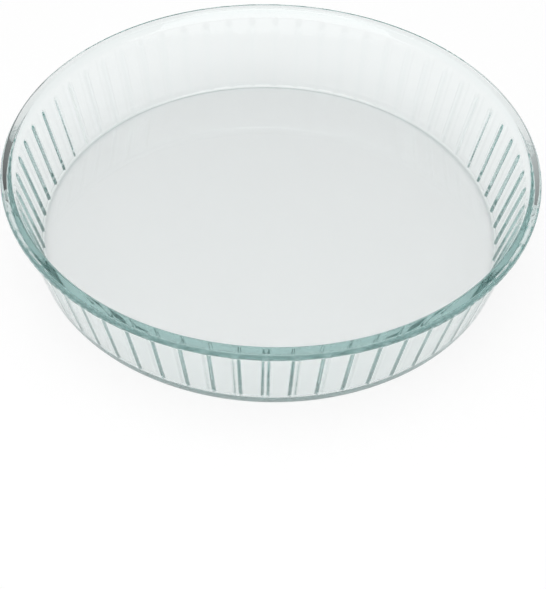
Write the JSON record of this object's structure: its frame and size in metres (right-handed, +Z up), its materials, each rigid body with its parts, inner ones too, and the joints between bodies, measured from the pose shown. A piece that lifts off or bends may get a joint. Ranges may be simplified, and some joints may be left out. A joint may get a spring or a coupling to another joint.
{
  "type": "pie dish",
  "caption": "Round clear glass pie dish with a sloping wall that is ribbed on the inside, a thick rounded rim and a flat floor.",
  "frame": {"origin": "centre of the flat underside, on the plane that the dish stands on", "axes": "+Z up along the axis of the dish, out of its open mouth; +X and +Y lie across the dish through the middle of a rib"},
  "size_m": [0.28, 0.28, 0.0505],
  "materials": {
    "clear_glass": "clear pressed soda-lime glass, smooth and fire-polished, with a faint blue-green tint that shows in the thick rim and at the foot"
  },
  "bodies": {
    "root": {"glass_dish": "clear_glass"}
  },
  "joints": []
}
